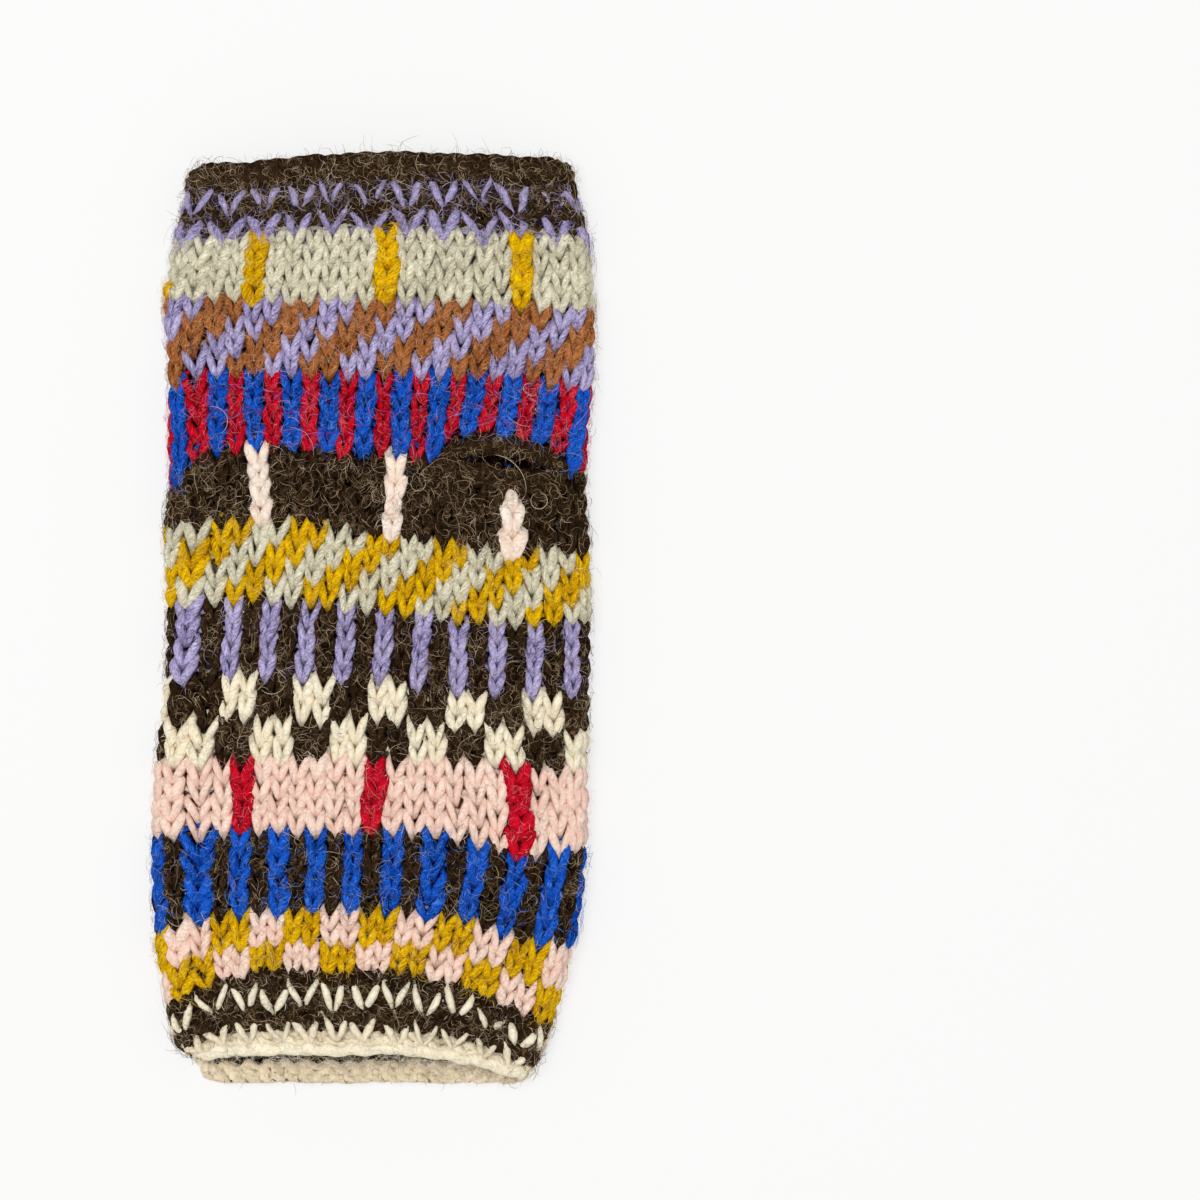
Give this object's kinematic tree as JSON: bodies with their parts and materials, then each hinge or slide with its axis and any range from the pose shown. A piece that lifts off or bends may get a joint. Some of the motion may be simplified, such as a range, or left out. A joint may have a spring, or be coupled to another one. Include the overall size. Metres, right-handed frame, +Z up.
{
  "type": "wrist warmer",
  "caption": "Knitted wool wrist warmer lying flat: a hollow tube with a thumb slit, striped colourwork bands and contrasting welts at both ends.",
  "frame": {"origin": "on the resting plane, under the middle of the object's outline seen from above", "axes": "+Z up through the front, +Y along the tube towards the fingers, +X to the thumb side"},
  "size_m": [0.0972, 0.2046, 0.0136],
  "materials": {
    "dark_brown_wool": "heathered dark brown wool, fuzzy, with lighter stray fibres",
    "lilac_wool": "plump lilac wool yarn, fuzzy",
    "sage_wool": "pale grey-green wool yarn with darker specks",
    "gold_wool": "golden yellow wool yarn",
    "rust_wool": "rust brown heathered wool yarn",
    "red_wool": "bright red wool yarn",
    "blue_wool": "royal blue wool yarn",
    "pale_pink_wool": "very pale pink wool yarn",
    "pink_wool": "soft pink wool yarn",
    "cream_wool": "undyed cream wool yarn"
  },
  "bodies": {
    "root": {"finger_edge": "dark_brown_wool", "finger_welt": "lilac_wool", "hand_tube": "sage_wool", "thumb_rim": "dark_brown_wool", "wrist_welt": "dark_brown_wool", "wrist_hem": "cream_wool"}
  },
  "joints": []
}
